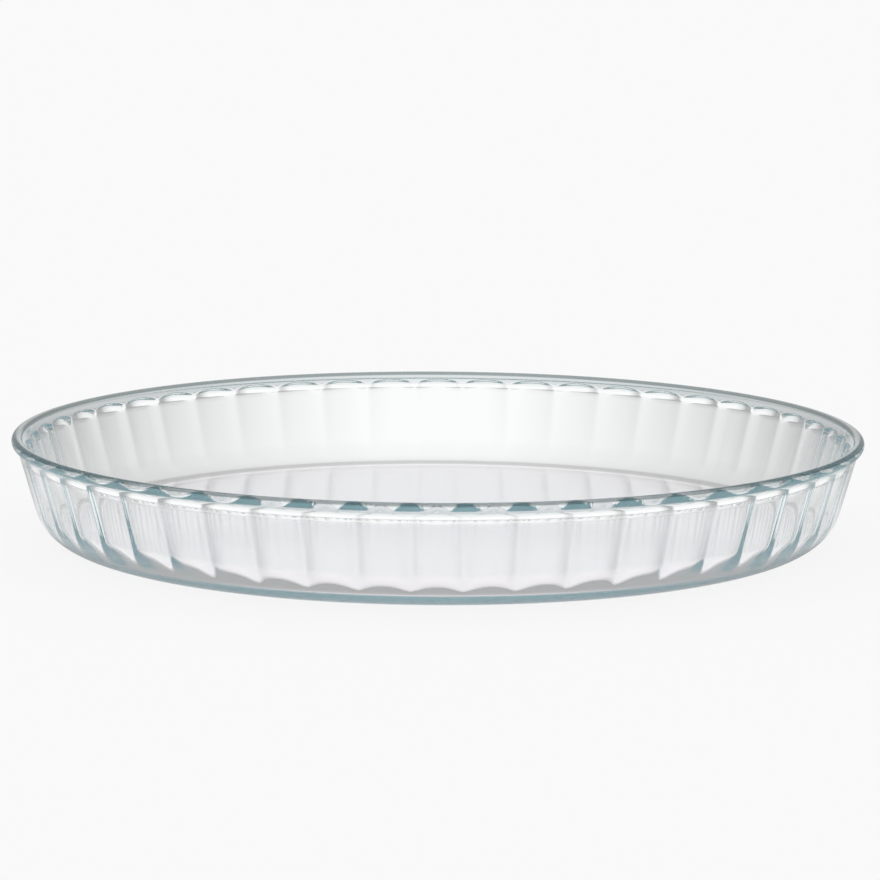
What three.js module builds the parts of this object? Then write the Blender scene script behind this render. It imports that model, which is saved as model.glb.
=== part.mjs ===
// Fluted tart dish of pressed clear glass, one piece: plain rounded rim, sloping wall that is smooth outside
// and has round-bottomed flutes side by side inside, a rounded heel and a flat floor. Millimetres, +Z up,
// origin at the centre of the underside, the middle of a flute on the front (-Y) side.
import * as THREE from "three";

const fullTurn = 2 * Math.PI;

// Overall size
const rimDiameter = 280;
const dishHeight = 35.2;

// Rim: a rounded band that stands out past the wall
const rimWidth = 3.6;
const rimBand = 3.9;
const rimOverhang = 1.8;
const rimUndercutTurn = (50 * Math.PI) / 180;
const rimQuarterSteps = 2;

// Wall: sloping sides, their thickness taken at the bottom of a flute
const wallDraft = (16 * Math.PI) / 180;
const wallThickness = 3.2;

// Flutes: hollows of the inside face that meet in ridges, and get shallower down the corner to the floor
const fluteCount = 50;
const fluteDepth = 0.85;
const fluteFade = 6.5;
const columnsPerFlute = 4;

// Heel, floor and the inside corner between floor and wall
const heelRadius = 16;
const heelSteps = 4;
const floorThickness = 5.5;
const cornerSteps = 4;

// Lines of the section, from the sizes above
const rimRadius = rimDiameter / 2;
const rimUnderside = dishHeight - rimBand;
const slope = Math.tan(wallDraft);
const outerAt = (z) => rimRadius - rimOverhang - (rimUnderside - z) * slope;
const wallAcross = wallThickness / Math.cos(wallDraft);
const ridgeAt = (z) => outerAt(z) - wallAcross - fluteDepth;
const heelTurn = Math.PI / 2 - wallDraft;
const baseRadius = outerAt(0) - heelRadius * Math.tan(heelTurn / 2);
const cornerRadius = heelRadius - (outerAt(0) - ridgeAt(0)) * Math.cos(wallDraft);
const floorTurn = Math.acos((heelRadius - floorThickness) / cornerRadius);

// Depth of the flutes at a height: none at the floor, all of it from a little way up
const fluteAt = (z) => fluteDepth * THREE.MathUtils.smoothstep(z, floorThickness, floorThickness + fluteFade);

// One station of the section: radius on the ridges, height, and how deep the flutes are there
const station = (r, z, flute = 0) => ({ r, z, flute });

// Turns from one to another in even steps, leaving out the first
const turns = (from, to, steps) =>
  Array.from({ length: steps }, (_, i) => from + ((to - from) * (i + 1)) / steps);

// Distance from the axis and height of a point on an arc about the heel's centre
const onArc = (radius, turn) => [baseRadius + radius * Math.sin(turn), heelRadius - radius * Math.cos(turn)];

// Flat underside, the heel and the smooth outside up to the neck under the rim
function outside() {
  return [
    station(0, 0),
    station(baseRadius, 0),
    ...turns(0, heelTurn, heelSteps).map((turn) => station(...onArc(heelRadius, turn))),
    station(outerAt(rimUnderside), rimUnderside),
  ];
}

// Rim band, from its underside over the top to its inner edge
function rim() {
  const halfWidth = rimWidth / 2;
  const halfBand = rimBand / 2;
  const overTop = turns(0, Math.PI, 2 * rimQuarterSteps);
  return [-rimUndercutTurn, 0, ...overTop].map((turn) =>
    station(
      rimRadius - halfWidth + halfWidth * Math.cos(turn),
      dishHeight - halfBand + halfBand * Math.sin(turn),
    ),
  );
}

// Fluted inside from the rim down the corner, and the floor, ending on the axis
function inside() {
  const corner = [heelTurn, ...turns(heelTurn, floorTurn, cornerSteps)].map((turn) => {
    const [r, z] = onArc(cornerRadius, turn);
    return station(r, z, fluteAt(z));
  });
  return [station(ridgeAt(rimUnderside), rimUnderside, fluteDepth), ...corner, station(0, floorThickness)];
}

// Angles of the mesh's columns, with the flute's share there: none on a ridge, all in the flute's middle
function fluteColumns() {
  const pitch = fullTurn / fluteCount;
  return Array.from({ length: fluteCount * columnsPerFlute }, (_, i) => {
    const flute = Math.floor(i / columnsPerFlute);
    const across = (2 * (i % columnsPerFlute)) / columnsPerFlute - 1;
    return { angle: pitch * (flute + across / 2), share: 1 - across * across };
  });
}

// The section turned round the axis, then moved out along the radius wherever there is a flute
function dishGeometry() {
  const section = [...outside(), ...rim(), ...inside()];
  const columns = fluteColumns();
  const points = section.map((s) => new THREE.Vector2(s.r, s.z));
  const geometry = new THREE.LatheGeometry(points, columns.length);
  const position = geometry.attributes.position;
  for (let i = 0; i < position.count; i += 1) {
    const { r, z, flute } = section[i % section.length];
    const { angle, share } = columns[Math.floor(i / section.length) % columns.length];
    const away = r + flute * share;
    position.setXYZ(i, away * Math.sin(angle), z, away * Math.cos(angle));
  }
  geometry.rotateX(Math.PI / 2);
  geometry.computeVertexNormals();
  return geometry;
}

const clearGlass = new THREE.MeshStandardMaterial({
  color: 0xdfeeec,
  roughness: 0.05,
  metalness: 0,
  transparent: true,
  opacity: 0.5,
});

const dish = new THREE.Mesh(dishGeometry(), clearGlass);
dish.name = "dish";

const group = new THREE.Group();
group.name = "fluted_tart_dish";
group.add(dish);

export default group;
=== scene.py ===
"""Looks of a fluted tart dish of clear pressed glass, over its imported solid, on a pale table in a studio.

The dish is one closed surface: a section carried round the axis, with flutes pressed into the inside of
its wall.
"""

import logging
import math
from dataclasses import dataclass
from enum import Enum, IntEnum
from typing import Any

import bpy
import numpy as np
from mathutils import Matrix
from numpy.typing import NDArray


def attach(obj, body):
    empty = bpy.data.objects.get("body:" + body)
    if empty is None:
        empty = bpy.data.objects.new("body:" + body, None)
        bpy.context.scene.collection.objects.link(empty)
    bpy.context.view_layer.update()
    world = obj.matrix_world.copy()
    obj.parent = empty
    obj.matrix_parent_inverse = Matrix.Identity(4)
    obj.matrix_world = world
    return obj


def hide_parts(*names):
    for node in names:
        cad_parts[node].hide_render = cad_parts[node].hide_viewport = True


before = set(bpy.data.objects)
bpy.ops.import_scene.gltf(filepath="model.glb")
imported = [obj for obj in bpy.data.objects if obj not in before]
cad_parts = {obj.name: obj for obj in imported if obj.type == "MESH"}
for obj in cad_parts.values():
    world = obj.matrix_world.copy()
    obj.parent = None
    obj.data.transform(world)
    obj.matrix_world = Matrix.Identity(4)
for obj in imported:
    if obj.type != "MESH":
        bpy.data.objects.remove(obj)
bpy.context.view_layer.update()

LOG = logging.getLogger("tart_dish")
MM = 0.001
WHITE = "#ffffff"
# Keeps the level parts of a place and drops its height
LEVEL = (1.0, 1.0, 0.0)
# The sRGB curve: straight up to the foot, then a power of the lifted value
SRGB_FOOT = 0.04045
SRGB_SLOPE = 12.92
SRGB_LIFT = 0.055
SRGB_POWER = 2.4
FULL_BYTE = 255

Array = NDArray[np.float64]
Colour = tuple[float, float, float, float]
Stops = tuple[tuple[float, str], ...]


class Face(Enum):
    """The kind of face that a row of the section lies on."""

    PLAIN = 0
    FLUTED = 1


class MixIn(IntEnum):
    """Inputs of a Mix node, by number because their names repeat."""

    SHARE = 0
    LEVEL_UNDER = 2
    LEVEL_OVER = 3
    COLOUR_UNDER = 6
    COLOUR_OVER = 7


class MixOut(IntEnum):
    """Outputs of a Mix node, by number because their names repeat."""

    LEVEL = 0
    COLOUR = 2


def linear(colour: str) -> Colour:
    """Turns an sRGB hex colour into linear light.

    Args:
        colour: six hex digits after a hash.

    Returns:
        Red, green, blue and a full alpha, linear.
    """
    parts = np.array(list(bytes.fromhex(colour[1:]))) / FULL_BYTE
    low = parts / SRGB_SLOPE
    high = ((parts + SRGB_LIFT) / (1 + SRGB_LIFT)) ** SRGB_POWER
    red, green, blue = np.where(parts <= SRGB_FOOT, low, high)
    return float(red), float(green), float(blue), 1.0


def add_node(
    tree: bpy.types.NodeTree,
    kind: str,
    settings: dict[int | str, Any] | None = None,
    links: dict[int | str, bpy.types.NodeSocket] | None = None,
) -> bpy.types.Node:
    """Adds a node with its settings and links.

    Args:
        tree: the node tree to add to.
        kind: the node's type name, without the leading ShaderNode.
        settings: values by property name, or by input name or number; stops are a ramp's places and
            colours, and the last place is the ramp's end.
        links: sockets to link from, by input name or number.

    Returns:
        The new node.
    """
    node = tree.nodes.new("ShaderNode" + kind)
    for key, value in (settings or {}).items():
        if key == "stops":
            end, _ = value[-1]
            marks = node.color_ramp.elements
            while len(marks) < len(value):
                marks.new(1.0)
            for mark, (place, colour) in zip(marks, value):
                mark.position = place / end
                mark.color = linear(colour)
        elif isinstance(key, str) and hasattr(node, key):
            setattr(node, key, value)
        else:
            node.inputs[key].default_value = value
    for key, socket in (links or {}).items():
        tree.links.new(socket, node.inputs[key])
    return node


def add_piece(
    name: str,
    points: Array,
    faces: list[list[int]],
    material: bpy.types.Material,
) -> bpy.types.Object:
    """Makes a piece at the origin from points and faces.

    Args:
        name: the piece's name.
        points: rows of three, metres.
        faces: point numbers of each face.
        material: its finish.

    Returns:
        The piece, smooth-shaded and linked to the scene.
    """
    mesh = bpy.data.meshes.new(name)
    mesh.from_pydata(points.tolist(), [], faces)
    mesh.polygons.foreach_set("use_smooth", np.ones(len(mesh.polygons), bool))
    mesh.materials.append(material)
    mesh.update()
    piece = bpy.data.objects.new(name, mesh)
    bpy.context.scene.collection.objects.link(piece)
    return piece


def smooth_step(x: Array) -> Array:
    """Rises from 0 to 1 as x does, level at both ends: three times x squared less twice x cubed."""
    x = np.clip(x, 0, 1)
    return x * x * (3 - 2 * x)


def soft_least(a: Array, b: Array, blend: float) -> Array:
    """Gives the lesser of two arrays, rounded where they cross.

    Args:
        a: first values.
        b: second values.
        blend: the difference under which the corner is rounded.

    Returns:
        The lesser values, less a parabola over the corner.
    """
    share = np.clip((1 + (b - a) / blend) / 2, 0, 1)
    return b * (1 - share) + a * share - blend * share * (1 - share)


def arc(centre: tuple[float, float], radius: float, start: float, end: float, count: int) -> Array:
    """Points of an arc in the section, by the angle turned from straight down.

    Args:
        centre: its distance from the axis and height, mm.
        radius: mm.
        start: first angle, radians.
        end: last angle, radians.
        count: number of points.

    Returns:
        Rows of distance from the axis and height.
    """
    turn = np.linspace(start, end, count)
    return np.stack([centre[0] + radius * np.sin(turn), centre[1] - radius * np.cos(turn)], -1)


def curve(start: Array, corner: Array, end: Array, count: int) -> Array:
    """Points of a quadratic curve, which leaves start towards the corner and meets end from it.

    Args:
        start: first point, left out of the result.
        corner: the point that both ends aim at.
        end: last point.
        count: number of points.

    Returns:
        Rows of distance from the axis and height.
    """
    t = np.linspace(0, 1, count + 1)[1:, None]
    return (1 - t) ** 2 * start + 2 * t * (1 - t) * corner + t**2 * end


@dataclass(frozen=True)
class PressedGlass:
    """Clear oven glass, pressed and fire-polished.

    It is bright and sharp to the eye, and blue-green where light goes far in it; its rim band and the line
    along the rim's top carry painted shade in the surface colour.

    Attributes:
        ior: index of refraction, about that of borosilicate oven glass.
        tint: colour that light keeps over a long way in the glass.
        density: how soon it takes that colour, per metre.
        rim_painted_shade: painted shade on the rim band, a darker green-grey surface colour that stands in
            for the dark edge that refraction gives the rim.
        rim_shade_start: heights over which that painted shade sets in, mm.
        lip_painted_shade: painted shade along the rim's top, a dark line of surface colour that stands in for
            the dark line that refraction gives there.
        lip_shade_start: heights over which that painted shade sets in, mm.
        ripple: width of the shallow waves that fire-polishing leaves, mm.
        ripple_depth: height of those waves, mm.
        ripple_detail: how many finer waves ride on them.
        ripple_share: height of a finer wave as a share of the one under it.
        stipple: roughness of the flat floor, which softens what is mirrored in it.
        stipple_radius: where the floor ends, mm.
        stipple_fade: width over which the roughness fades out there, mm.
    """

    ior: float = 1.48
    tint: str = "#ceecf1"
    density: float = 8.0
    rim_painted_shade: str = "#e4e9e9"
    rim_shade_start: tuple[float, float] = (31.0, 31.8)
    lip_painted_shade: str = "#6a7575"
    lip_shade_start: tuple[float, float] = (34.0, 34.4)
    ripple: float = 16.0
    ripple_depth: float = 0.004
    ripple_detail: float = 1.0
    ripple_share: float = 0.4
    stipple: float = 0.15
    stipple_radius: float = 122.6
    stipple_fade: float = 4.0

    def material(self) -> bpy.types.Material:
        """Makes the glass.

        Returns:
            A material with a clear surface, faint waves, a soft floor, a tinted body, and painted shade on
            the rim band and along the rim's top.
        """
        made = bpy.data.materials.new("pressed_glass")
        made.use_nodes = True
        tree = made.node_tree
        tree.nodes.clear()
        place = add_node(tree, "TexCoord").outputs["Object"]
        flat = add_node(tree, "VectorMath", {"operation": "MULTIPLY", 1: LEVEL}, {0: place})
        away = add_node(tree, "VectorMath", {"operation": "LENGTH"}, {0: flat.outputs[0]})
        edge = self.stipple_radius * MM
        inner = edge - self.stipple_fade * MM
        floor = add_node(
            tree,
            "MapRange",
            {"From Min": edge, "From Max": inner, "To Min": 0.0, "To Max": self.stipple},
            {"Value": away.outputs["Value"]},
        )
        height = add_node(tree, "SeparateXYZ", None, {0: place}).outputs["Z"]
        # Surface colour: white, then painted shade on the rim band and darker painted shade along the rim's
        # top, standing in for the dark edges that refraction gives the rim.
        painted_shade_colour = add_node(tree, "RGB").outputs[0]
        painted_shade_colour.default_value = linear(WHITE)
        # Each pass mixes in one painted shade: first the rim band's, then the darker line along the rim's
        # top.
        for colour, (low, high) in ((self.rim_painted_shade, self.rim_shade_start), (self.lip_painted_shade, self.lip_shade_start)):
            share = add_node(
                tree,
                "MapRange",
                {"interpolation_type": "SMOOTHSTEP", "From Min": low * MM, "From Max": high * MM},
                {"Value": height},
            )
            mixed = add_node(
                tree,
                "Mix",
                {"data_type": "RGBA", MixIn.COLOUR_OVER: linear(colour)},
                {MixIn.SHARE: share.outputs["Result"], MixIn.COLOUR_UNDER: painted_shade_colour},
            )
            painted_shade_colour = mixed.outputs[MixOut.COLOUR]
        waves = add_node(
            tree,
            "TexNoise",
            {"Scale": 1 / (self.ripple * MM), "Detail": self.ripple_detail, "Roughness": self.ripple_share},
            {"Vector": place},
        )
        bump = add_node(
            tree,
            "Bump",
            {"Strength": 1.0, "Distance": self.ripple_depth * MM},
            {"Height": waves.outputs[0]},
        )
        surface = add_node(
            tree,
            "BsdfPrincipled",
            {"Transmission Weight": 1.0, "IOR": self.ior},
            {"Base Color": painted_shade_colour, "Roughness": floor.outputs["Result"], "Normal": bump.outputs["Normal"]},
        )
        body = add_node(tree, "VolumeAbsorption", {"Color": linear(self.tint), "Density": self.density})
        add_node(tree, "OutputMaterial", None, {"Surface": surface.outputs[0], "Volume": body.outputs[0]})
        return made


@dataclass(frozen=True)
class Flutes:
    """Hollows side by side round the inside of the wall, which meet in ridges; sizes in mm.

    Attributes:
        count: number of flutes.
        depth: depth of a flute's middle under the ridges beside it.
        power: how flat the flute's middle is; two gives a plain hollow.
        ridge: share of half a flute over which the ridge between two is rounded.
        fade: height over which they deepen, from the floor up.
        run: height of their rounded upper end.
        arch: how much higher that end is in the flute's middle than on the ridges.
        blend: share of the depth under which the edge of that end is rounded.
        ends: how many times its own height that end reaches down under the arch.
        steps: columns for each flute.
        crowding: how much closer the columns stand at the ridges than in the middle.
    """

    count: int = 50
    depth: float = 0.85
    power: float = 2.5
    ridge: float = 0.12
    fade: float = 6.5
    run: float = 0.8
    arch: float = 1.5
    blend: float = 0.3
    ends: float = 3.0
    steps: int = 12
    crowding: float = 0.4

    def columns(self) -> tuple[Array, Array]:
        """Places the mesh's columns, closer together towards the ridges by the cube of their place.

        Returns:
            The angle of each column from the front, and its place across its flute, from -1 to 1.
        """
        step = np.linspace(-1, 1, self.steps + 1)[:-1]
        across = np.tile((1 + self.crowding) * step - self.crowding * step**3, self.count)
        flute = np.repeat(np.arange(self.count), self.steps)
        return (flute + across / 2) * 2 * math.pi / self.count, across

    def hollow(self, across: Array) -> Array:
        """Depth across a flute: it falls from the middle by the power, and levels out on the ridge.

        Args:
            across: place across the flute, from -1 on one ridge to 1 on the next.

        Returns:
            One in the middle, none on the ridges.
        """
        away = np.abs(across)
        edge = 1 - self.ridge
        slope = self.power * edge ** (self.power - 1)
        past = np.clip(away - edge, 0, self.ridge)
        fall = np.minimum(away, edge) ** self.power + slope * (past - past**2 / (2 * self.ridge))
        return 1 - fall / (edge**self.power + slope * self.ridge / 2)

    def press(self, across: Array, z: Array, floor: float, top: float) -> Array:
        """Depth of the flutes: that across, cut by a quarter round at the top and faded out at the floor.

        Args:
            across: places across the flute, one for each column.
            z: heights, one for each row.
            floor: height of the floor.
            top: height at which the flutes end.

        Returns:
            Distance out from the ridges, rows by columns, mm.
        """
        left = np.clip((top - self.arch * across**2 - z[:, None]) / self.run, 0, 1)
        end = np.sqrt(1 - (1 - left) ** 2)
        body = np.broadcast_to(self.hollow(across), end.shape)
        cut = np.maximum(soft_least(body, end, self.blend), 0)
        body = np.where(z[:, None] < top - self.arch - self.ends * self.run, body, cut)
        return self.depth * body * smooth_step((z - floor) / self.fade)[:, None]


@dataclass(frozen=True)
class Rim:
    """Rounded band along the top of the wall, sizes in mm.

    Attributes:
        radius: outside of the band.
        width: across the band.
        band: height of the band.
        power: how square the band is; two gives a plain ellipse.
        overhang: how far it stands out past the wall.
        swing: turns about the band's middle at which it leaves the wall outside and inside, radians.
        rows: points of its section.
    """

    radius: float = 140.0
    width: float = 3.6
    band: float = 3.6
    power: float = 2.0
    overhang: float = 1.8
    swing: tuple[float, float] = (-1.2, 2.79)
    rows: int = 36

    def outline(self, top: float) -> Array:
        """Section of the band: a superellipse, cosine and sine of the turn each to two over the power.

        Args:
            top: height of the dish, mm.

        Returns:
            Rows of distance from the axis and height, from the underside over the top to the inner edge.
        """
        turn = np.linspace(*self.swing, self.rows)
        way = np.stack([np.cos(turn), np.sin(turn)], -1)
        way = np.sign(way) * np.abs(way) ** (2 / self.power)
        half = np.array([self.width, self.band]) / 2
        return np.array([self.radius, top]) + half * (way - 1)


@dataclass(frozen=True)
class Rows:
    """Points along each stretch of the wall's and the floor's section.

    Attributes:
        heel: round the heel outside.
        wall: up the outside of the wall.
        flare: down the curve from the rim to the inside of the wall.
        upper: along the upper stretch of the inside.
        lower: along the rest of the inside.
        corner: round the corner to the floor.
        edge: round the floor's edge.
    """

    heel: int = 28
    wall: int = 6
    flare: int = 16
    upper: int = 8
    lower: int = 6
    corner: int = 30
    edge: int = 8


@dataclass(frozen=True)
class Dish:
    """The dish, one closed surface, sizes in mm and angles in radians.

    Attributes:
        height: base to the top of the rim.
        draft: slope of the wall.
        wall: thickness of the wall in the middle of a flute.
        heel: radius of the round between wall and base.
        floor: thickness of the floor.
        flare: height over which the inside curves out to the rim.
        flare_bend: share of that height at which the curve's corner lies.
        reach: how far up that curve the flutes run.
        upper: height under that curve over which the rows stand closer, for the ends of the flutes.
        edge_round: length over which the floor's edge is rounded.
        base_margin: width of the flat ring along the underside's edge, which keeps its shading flat.
        floor_margin: width of the flat ring along the floor's edge, which keeps its shading flat.
        rim: the band along the top.
        flutes: the hollows inside.
        rows: points along the section.
        glass: the finish.
    """

    height: float = 35.2
    draft: float = math.radians(16)
    wall: float = 3.2
    heel: float = 16.0
    floor: float = 5.5
    flare: float = 2.8
    flare_bend: float = 0.64
    reach: float = 1.5
    upper: float = 3.0
    edge_round: float = 0.8
    base_margin: float = 2.0
    floor_margin: float = 3.0
    rim: Rim = Rim()
    flutes: Flutes = Flutes()
    rows: Rows = Rows()
    glass: PressedGlass = PressedGlass()

    def outer_line(self, z: Any) -> Any:
        """Distance from the axis of the outside of the wall, by height."""
        under_rim = self.height - self.rim.band
        return self.rim.radius - self.rim.overhang - (under_rim - z) * math.tan(self.draft)

    def ridge_line(self, z: Any) -> Any:
        """Distance from the axis of the ridges inside the wall, by height."""
        return self.outer_line(z) - self.wall / math.cos(self.draft) - self.flutes.depth

    def heel_turn(self) -> tuple[float, float]:
        """Gives the distance from the axis of the heel's centre, and the angle that the heel turns."""
        turn = math.pi / 2 - self.draft
        return self.outer_line(0.0) - self.heel * math.tan(turn / 2), turn

    def outside(self) -> Array:
        """Section of the underside, the heel and the smooth outside of the wall.

        Returns:
            Rows of distance from the axis and height, from the axis out and up.
        """
        base, turn = self.heel_turn()
        flat = np.array([[0.0, 0.0], [base - self.base_margin, 0.0]])
        heel = arc((base, self.heel), self.heel, 0, turn, self.rows.heel)
        z = np.linspace(heel[-1, 1], self.height - self.rim.band, self.rows.wall)[1:]
        return np.concatenate([flat, heel, np.stack([self.outer_line(z), z], -1)])

    def inside(self, start: Array) -> tuple[Array, Array]:
        """Section of the fluted inside and of the floor.

        Args:
            start: the rim's inner edge, left out of the result.

        Returns:
            Rows of the fluted face from the rim down to the floor, and rows of the floor in to the axis.
        """
        end = start[1] - self.flare
        z = np.array([end + self.flare_bend * self.flare, end])
        flare = curve(start, *np.stack([self.ridge_line(z), z], -1), self.rows.flare)
        base, turn = self.heel_turn()
        radius = self.heel - self.wall - self.flutes.depth * math.cos(self.draft)
        floor_turn = math.acos((self.heel - self.floor) / radius)
        edge = np.array([base + radius * math.sin(floor_turn), self.floor])
        corner = arc((base, self.heel), radius, turn, floor_turn, self.rows.corner)
        corner = corner[np.linalg.norm(corner - edge, axis=1) > self.edge_round]
        middle = end - self.upper
        upper = np.linspace(end, middle, self.rows.upper)[1:]
        lower = np.linspace(middle, corner[0, 1], self.rows.lower)[1:-1]
        z = np.concatenate([upper, lower])
        fluted = np.concatenate([flare, np.stack([self.ridge_line(z), z], -1), corner])
        level = edge - [self.edge_round, 0.0]
        flat = np.array([[level[0] - self.floor_margin, self.floor], [0.0, self.floor]])
        return fluted, np.concatenate([curve(corner[-1], edge, level, self.rows.edge), flat])

    def surface(self) -> Array:
        """The section carried round the axis, each fluted row moved out by the flutes.

        Returns:
            Points, rows by columns by three, metres; the first and last rows lie on the axis.
        """
        rim = self.rim.outline(self.height)
        fluted, floor = self.inside(rim[-1])
        strips = [
            (Face.PLAIN, self.outside()),
            (Face.PLAIN, rim),
            (Face.FLUTED, fluted),
            (Face.PLAIN, floor),
        ]
        section = np.concatenate([line for _, line in strips])
        face = np.concatenate([np.full(len(line), kind.value) for kind, line in strips])
        angle, across = self.flutes.columns()
        z = section[:, 1]
        top = rim[-1, 1] - self.flare + self.reach
        out = (face == Face.FLUTED.value)[:, None] * self.flutes.press(across, z, self.floor, top)
        radius = section[:, :1] + out
        height = np.broadcast_to(z[:, None], radius.shape)
        return np.stack([radius * np.sin(angle), -radius * np.cos(angle), height], -1) * MM

    def build(self) -> bpy.types.Object:
        """Makes the dish's mesh: quads between rings, and a fan of triangles to the axis at each end.

        Returns:
            The dish as one closed, smooth-shaded piece.
        """
        grid = self.surface()
        rings = grid[1:-1]
        count, columns = rings.shape[:2]
        points = np.concatenate([rings.reshape(-1, 3), grid[:1, 0], grid[-1:, 0]])
        bottom = count * columns
        start = np.arange(count - 1)[:, None] * columns
        here = np.arange(columns)
        beside = (here + 1) % columns
        above = start + columns
        quads = np.stack([start + here, start + beside, above + beside, above + here], -1)
        last = (count - 1) * columns
        under = np.stack([np.full(columns, bottom), beside, here], -1)
        over = np.stack([np.full(columns, bottom + 1), last + here, last + beside], -1)
        faces = quads.reshape(-1, 4).tolist() + under.tolist() + over.tolist()
        return add_piece("glass_dish", points, faces, self.glass.material())


@dataclass(frozen=True)
class PaleTable:
    """Matt white tabletop: even and pale, with the dish's soft shade on it, faint and lit for the camera;
    where the glass shows it, the table glows with a painted shadow under the heel and painted darker
    stretches to either side behind the dish.

    Attributes:
        colour: its paint.
        half: half its width, metres.
        drop: how far it lies under the dish, metres.
        shown: share of its colour that shows to the camera without shading.
        shade: painted light and shadow on it as the glass shows it, by distance from the dish's axis, mm: a
            painted shadow dim under the heel, and a faint painted lilac cast under the dish.
        painted_side_shade: painted shade, the share of that light behind the dish, by distance to either
            side, mm, darker farther out.
        behind: distances behind the axis over which that painted shade sets in, mm.
    """

    colour: str = "#f8f8f8"
    half: float = 12.0
    drop: float = 0.0002
    shown: float = 0.93
    # Painted shadow and light: a faint lilac cast under the dish, a dim ring under the heel, then plain pale.
    shade: Stops = (
        (0, "#fdf7fb"),
        (119.5, "#fdf7fb"),
        (121.5, "#b0aeae"),
        (127, "#b0aeae"),
        (132, "#ececec"),
        (150, "#f8f8f8"),
        (190, "#fdfdfd"),
        (500, "#fdfdfd"),
    )
    # Painted shade: the light behind the dish falls off to either side.
    painted_side_shade: Stops = (
        (0, "#ffffff"),
        (20, "#ffffff"),
        (60, "#f4f4f4"),
        (200, "#b8b8b8"),
        (500, "#a4a4a4"),
    )
    behind: tuple[float, float] = (0.0, 80.0)

    def build(self) -> bpy.types.Object:
        """Makes the tabletop.

        Returns:
            A flat sheet.
        """
        x, y = np.meshgrid([-self.half, self.half], [-self.half, self.half])
        points = np.stack([x, y, np.full(x.shape, -self.drop)], -1).reshape(-1, 3)
        return add_piece("tabletop", points, [[0, 1, 3, 2]], self.material())

    def material(self) -> bpy.types.Material:
        """Makes the paint.

        Returns:
            Matt paint, mixed with its own plain colour for the camera; for the glass, a glow that carries a
            painted shadow and painted darker stretches to either side.
        """
        made = bpy.data.materials.new("matt_white_paint_and_painted_shade")
        made.use_nodes = True
        tree = made.node_tree
        tree.nodes.clear()
        ray = add_node(tree, "LightPath").outputs
        place = add_node(tree, "TexCoord").outputs["Object"]
        level_mm = tuple(part / MM for part in LEVEL)
        in_mm = add_node(tree, "VectorMath", {"operation": "MULTIPLY", 1: level_mm}, {0: place})
        away = add_node(tree, "VectorMath", {"operation": "LENGTH"}, {0: in_mm.outputs[0]})
        part = add_node(tree, "SeparateXYZ", None, {0: in_mm.outputs[0]}).outputs
        aside = add_node(tree, "Math", {"operation": "ABSOLUTE"}, {0: part["X"]})
        # Painted light and shade that only the glass sees: the shadow ring by distance from the axis, and the
        # darker stretches by distance to either side.
        ramps = []
        for value, stops in ((away.outputs["Value"], self.shade), (aside.outputs[0], self.painted_side_shade)):
            end, _ = stops[-1]
            share = add_node(tree, "Math", {"operation": "DIVIDE", 1: end}, {0: value})
            ramps.append(add_node(tree, "ValToRGB", {"stops": stops}, {0: share.outputs[0]}).outputs["Color"])
        shade, painted_side_shade = ramps
        # The painted darker stretches set in only behind the dish.
        near, far = self.behind
        back = add_node(
            tree,
            "MapRange",
            {"interpolation_type": "SMOOTHSTEP", "From Min": near, "From Max": far},
            {"Value": part["Y"]},
        )
        painted_side_dimming = add_node(
            tree,
            "Mix",
            {"data_type": "RGBA", MixIn.COLOUR_UNDER: linear(WHITE)},
            {MixIn.SHARE: back.outputs["Result"], MixIn.COLOUR_OVER: painted_side_shade},
        )
        # The table glows with that painted light and shade for the glass.
        painted_shade_glow = add_node(
            tree,
            "Emission",
            None,
            {"Color": shade, "Strength": painted_side_dimming.outputs[MixOut.COLOUR]},
        )
        lit = add_node(tree, "BsdfDiffuse", {"Color": linear(self.colour)})
        plain = add_node(tree, "Emission", {"Color": linear(self.colour), "Strength": 1.0})
        seen = add_node(tree, "Math", {"operation": "MULTIPLY", 1: self.shown}, {0: ray["Is Camera Ray"]})
        direct = add_node(
            tree,
            "MixShader",
            None,
            {0: seen.outputs[0], 1: lit.outputs[0], 2: plain.outputs[0]},
        )
        by_glass = add_node(
            tree,
            "Math",
            {"operation": "MAXIMUM"},
            {0: ray["Is Glossy Ray"], 1: ray["Is Transmission Ray"]},
        )
        mixed = add_node(
            tree,
            "MixShader",
            None,
            {0: by_glass.outputs[0], 1: direct.outputs[0], 2: painted_shade_glow.outputs[0]},
        )
        add_node(tree, "OutputMaterial", None, {"Surface": mixed.outputs[0]})
        return made


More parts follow.
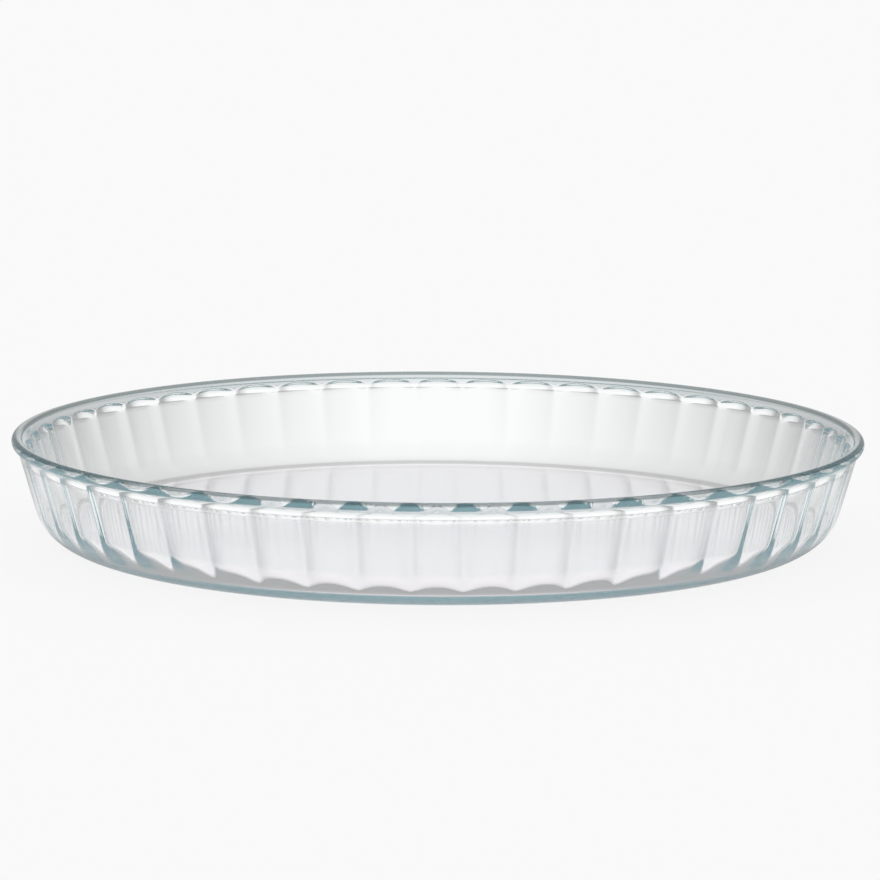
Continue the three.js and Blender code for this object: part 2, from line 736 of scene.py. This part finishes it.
@dataclass(frozen=True)
class Studio:
    """Room and lamp round the dish.

    Attributes:
        ring: light low down round the dish, by the angle from straight behind it to either side, degrees.
        above: level of light overhead.
        rise: heights, as sines, between which the ring of low light passes into the light above.
        sun: strength of the broad lamp overhead.
        sun_spread: angle that the lamp covers, degrees.
        bounces: how often light may turn inside the glass.
    """

    ring: Stops = (
        (0, "#ffffff"),
        (4.5, "#ffffff"),
        (11.5, "#afafaf"),
        (60, "#afafaf"),
        (80, "#f3f3f3"),
        (180, "#f3f3f3"),
    )
    above: float = 0.85
    rise: tuple[float, float] = (0.3, 0.7)
    sun: float = 1.0
    sun_spread: float = 100.0
    bounces: int = 64

    def room(self) -> bpy.types.World:
        """Makes the room's light: bright behind the dish, with a darker stretch to either side of that.

        Returns:
            The world.
        """
        made = bpy.data.worlds.new("studio_room")
        bpy.context.scene.world = made
        made.use_nodes = True
        tree = made.node_tree
        tree.nodes.clear()
        way = add_node(tree, "TexCoord").outputs["Generated"]
        part = add_node(tree, "SeparateXYZ", None, {0: way}).outputs
        side = add_node(tree, "Math", {"operation": "ABSOLUTE"}, {0: part["X"]})
        turn = add_node(tree, "Math", {"operation": "ARCTAN2"}, {0: side.outputs[0], 1: part["Y"]})
        angle = add_node(tree, "Math", {"operation": "DEGREES"}, {0: turn.outputs[0]})
        end, _ = self.ring[-1]
        share = add_node(tree, "Math", {"operation": "DIVIDE", 1: end}, {0: angle.outputs[0]})
        ring = add_node(tree, "ValToRGB", {"stops": self.ring}, {0: share.outputs[0]})
        low, high = self.rise
        up = add_node(
            tree,
            "MapRange",
            {"interpolation_type": "SMOOTHSTEP", "From Min": low, "From Max": high},
            {"Value": part["Z"]},
        )
        level = add_node(
            tree,
            "Mix",
            {"data_type": "FLOAT", MixIn.LEVEL_OVER: self.above},
            {MixIn.SHARE: up.outputs["Result"], MixIn.LEVEL_UNDER: ring.outputs["Color"]},
        )
        ray = add_node(tree, "LightPath").outputs
        shown = add_node(
            tree,
            "Mix",
            {"data_type": "RGBA", MixIn.COLOUR_OVER: linear(PaleTable.colour)},
            {MixIn.SHARE: ray["Is Camera Ray"], MixIn.COLOUR_UNDER: level.outputs[MixOut.LEVEL]},
        )
        light = add_node(tree, "Background", {"Strength": 1.0}, {"Color": shown.outputs[MixOut.COLOUR]})
        add_node(tree, "OutputWorld", None, {"Surface": light.outputs[0]})
        return made

    def lamp(self) -> bpy.types.Object:
        """Hangs the broad soft lamp overhead.

        Returns:
            The lamp, out of sight of the glass.
        """
        data = bpy.data.lights.new("soft_box", "SUN")
        data.energy = self.sun
        data.angle = math.radians(self.sun_spread)
        made = bpy.data.objects.new("soft_box", data)
        made.visible_glossy = False
        made.visible_transmission = False
        bpy.context.scene.collection.objects.link(made)
        return made

    def view(self) -> None:
        """Sets plain colours, and enough bounces for light that travels far inside the glass."""
        scene = bpy.context.scene
        scene.view_settings.view_transform = "Standard"
        for kind in ("max", "transmission", "glossy", "transparent_max"):
            setattr(scene.cycles, kind + "_bounces", self.bounces)


@dataclass(frozen=True)
class FrontCamera:
    """Camera as the photograph was taken: from the front, about nine degrees down.

    Attributes:
        lens: focal length, mm.
        sensor: width of its sensor, mm.
        stand: where it stands, metres.
        dip: how far it looks down, radians.
        lean: how far it leans over, radians.
        sight: how far it sees, metres.
    """

    lens: float = 193.406
    sensor: float = 36.0
    stand: tuple[float, float, float] = (0.000671, -1.538536, 0.277215)
    dip: float = 0.15783
    lean: float = 0.00529
    sight: float = 100.0

    def build(self) -> bpy.types.Object:
        """Sets up the camera.

        Returns:
            The camera, in use by the scene.
        """
        data = bpy.data.cameras.new("front_camera")
        data.sensor_width = self.sensor
        data.lens = self.lens
        data.clip_end = self.sight
        made = bpy.data.objects.new("front_camera", data)
        tilt = Matrix.Rotation(math.pi / 2 - self.dip, 4, "X") @ Matrix.Rotation(self.lean, 4, "Z")
        made.matrix_world = Matrix.Translation(self.stand) @ tilt
        bpy.context.scene.collection.objects.link(made)
        bpy.context.scene.camera = made
        return made


def main() -> None:
    """Builds the dish and its surroundings, in order, and reports each piece."""
    logging.basicConfig(level=logging.INFO, format="%(message)s")
    dish = Dish().build()
    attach(dish, "root")
    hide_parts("dish")
    table = PaleTable().build()
    for piece in (dish, table):
        LOG.info("%s: %d faces", piece.name, len(piece.data.polygons))
    studio = Studio()
    studio.view()
    for made in (studio.room(), studio.lamp(), FrontCamera().build()):
        LOG.info("%s", made.name)


if __name__ == "__main__":
    main()
